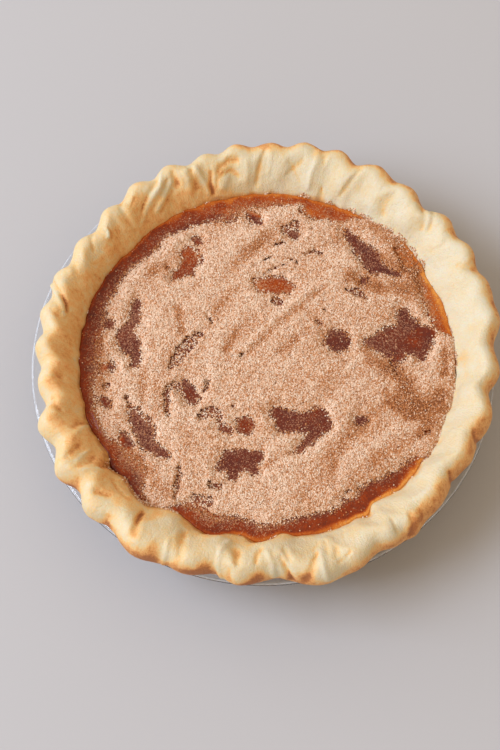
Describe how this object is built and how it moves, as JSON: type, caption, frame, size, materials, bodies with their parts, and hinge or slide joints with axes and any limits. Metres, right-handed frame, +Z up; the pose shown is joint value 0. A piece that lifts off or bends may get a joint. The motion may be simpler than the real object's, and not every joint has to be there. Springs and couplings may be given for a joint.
{
  "type": "sugar cream pie",
  "caption": "Round custard pie topped with cinnamon sugar, in a crimped pastry crust, baked and served in its own clear glass pie dish.",
  "frame": {"origin": "on the glass dish's axis, on the underside of its base, where it rests on the table", "axes": "+Z up through the pie; +Y points away from the viewer of the picture and +X to the viewer's right"},
  "size_m": [0.2474, 0.252, 0.0549],
  "materials": {
    "glass_dish": "smooth clear pressed glass",
    "pastry_crust": "baked shortcrust pastry, cream on its wall and golden brown on the crimps",
    "custard": "glossy caramelised custard skin, amber where it is thin at the edge",
    "cinnamon_sugar": "dull layer of sugar crystals mixed with ground cinnamon"
  },
  "bodies": {
    "root": {"glass_dish": "glass_dish", "pastry_crust": "pastry_crust", "custard": "custard", "cinnamon_sugar": "cinnamon_sugar"}
  },
  "joints": []
}
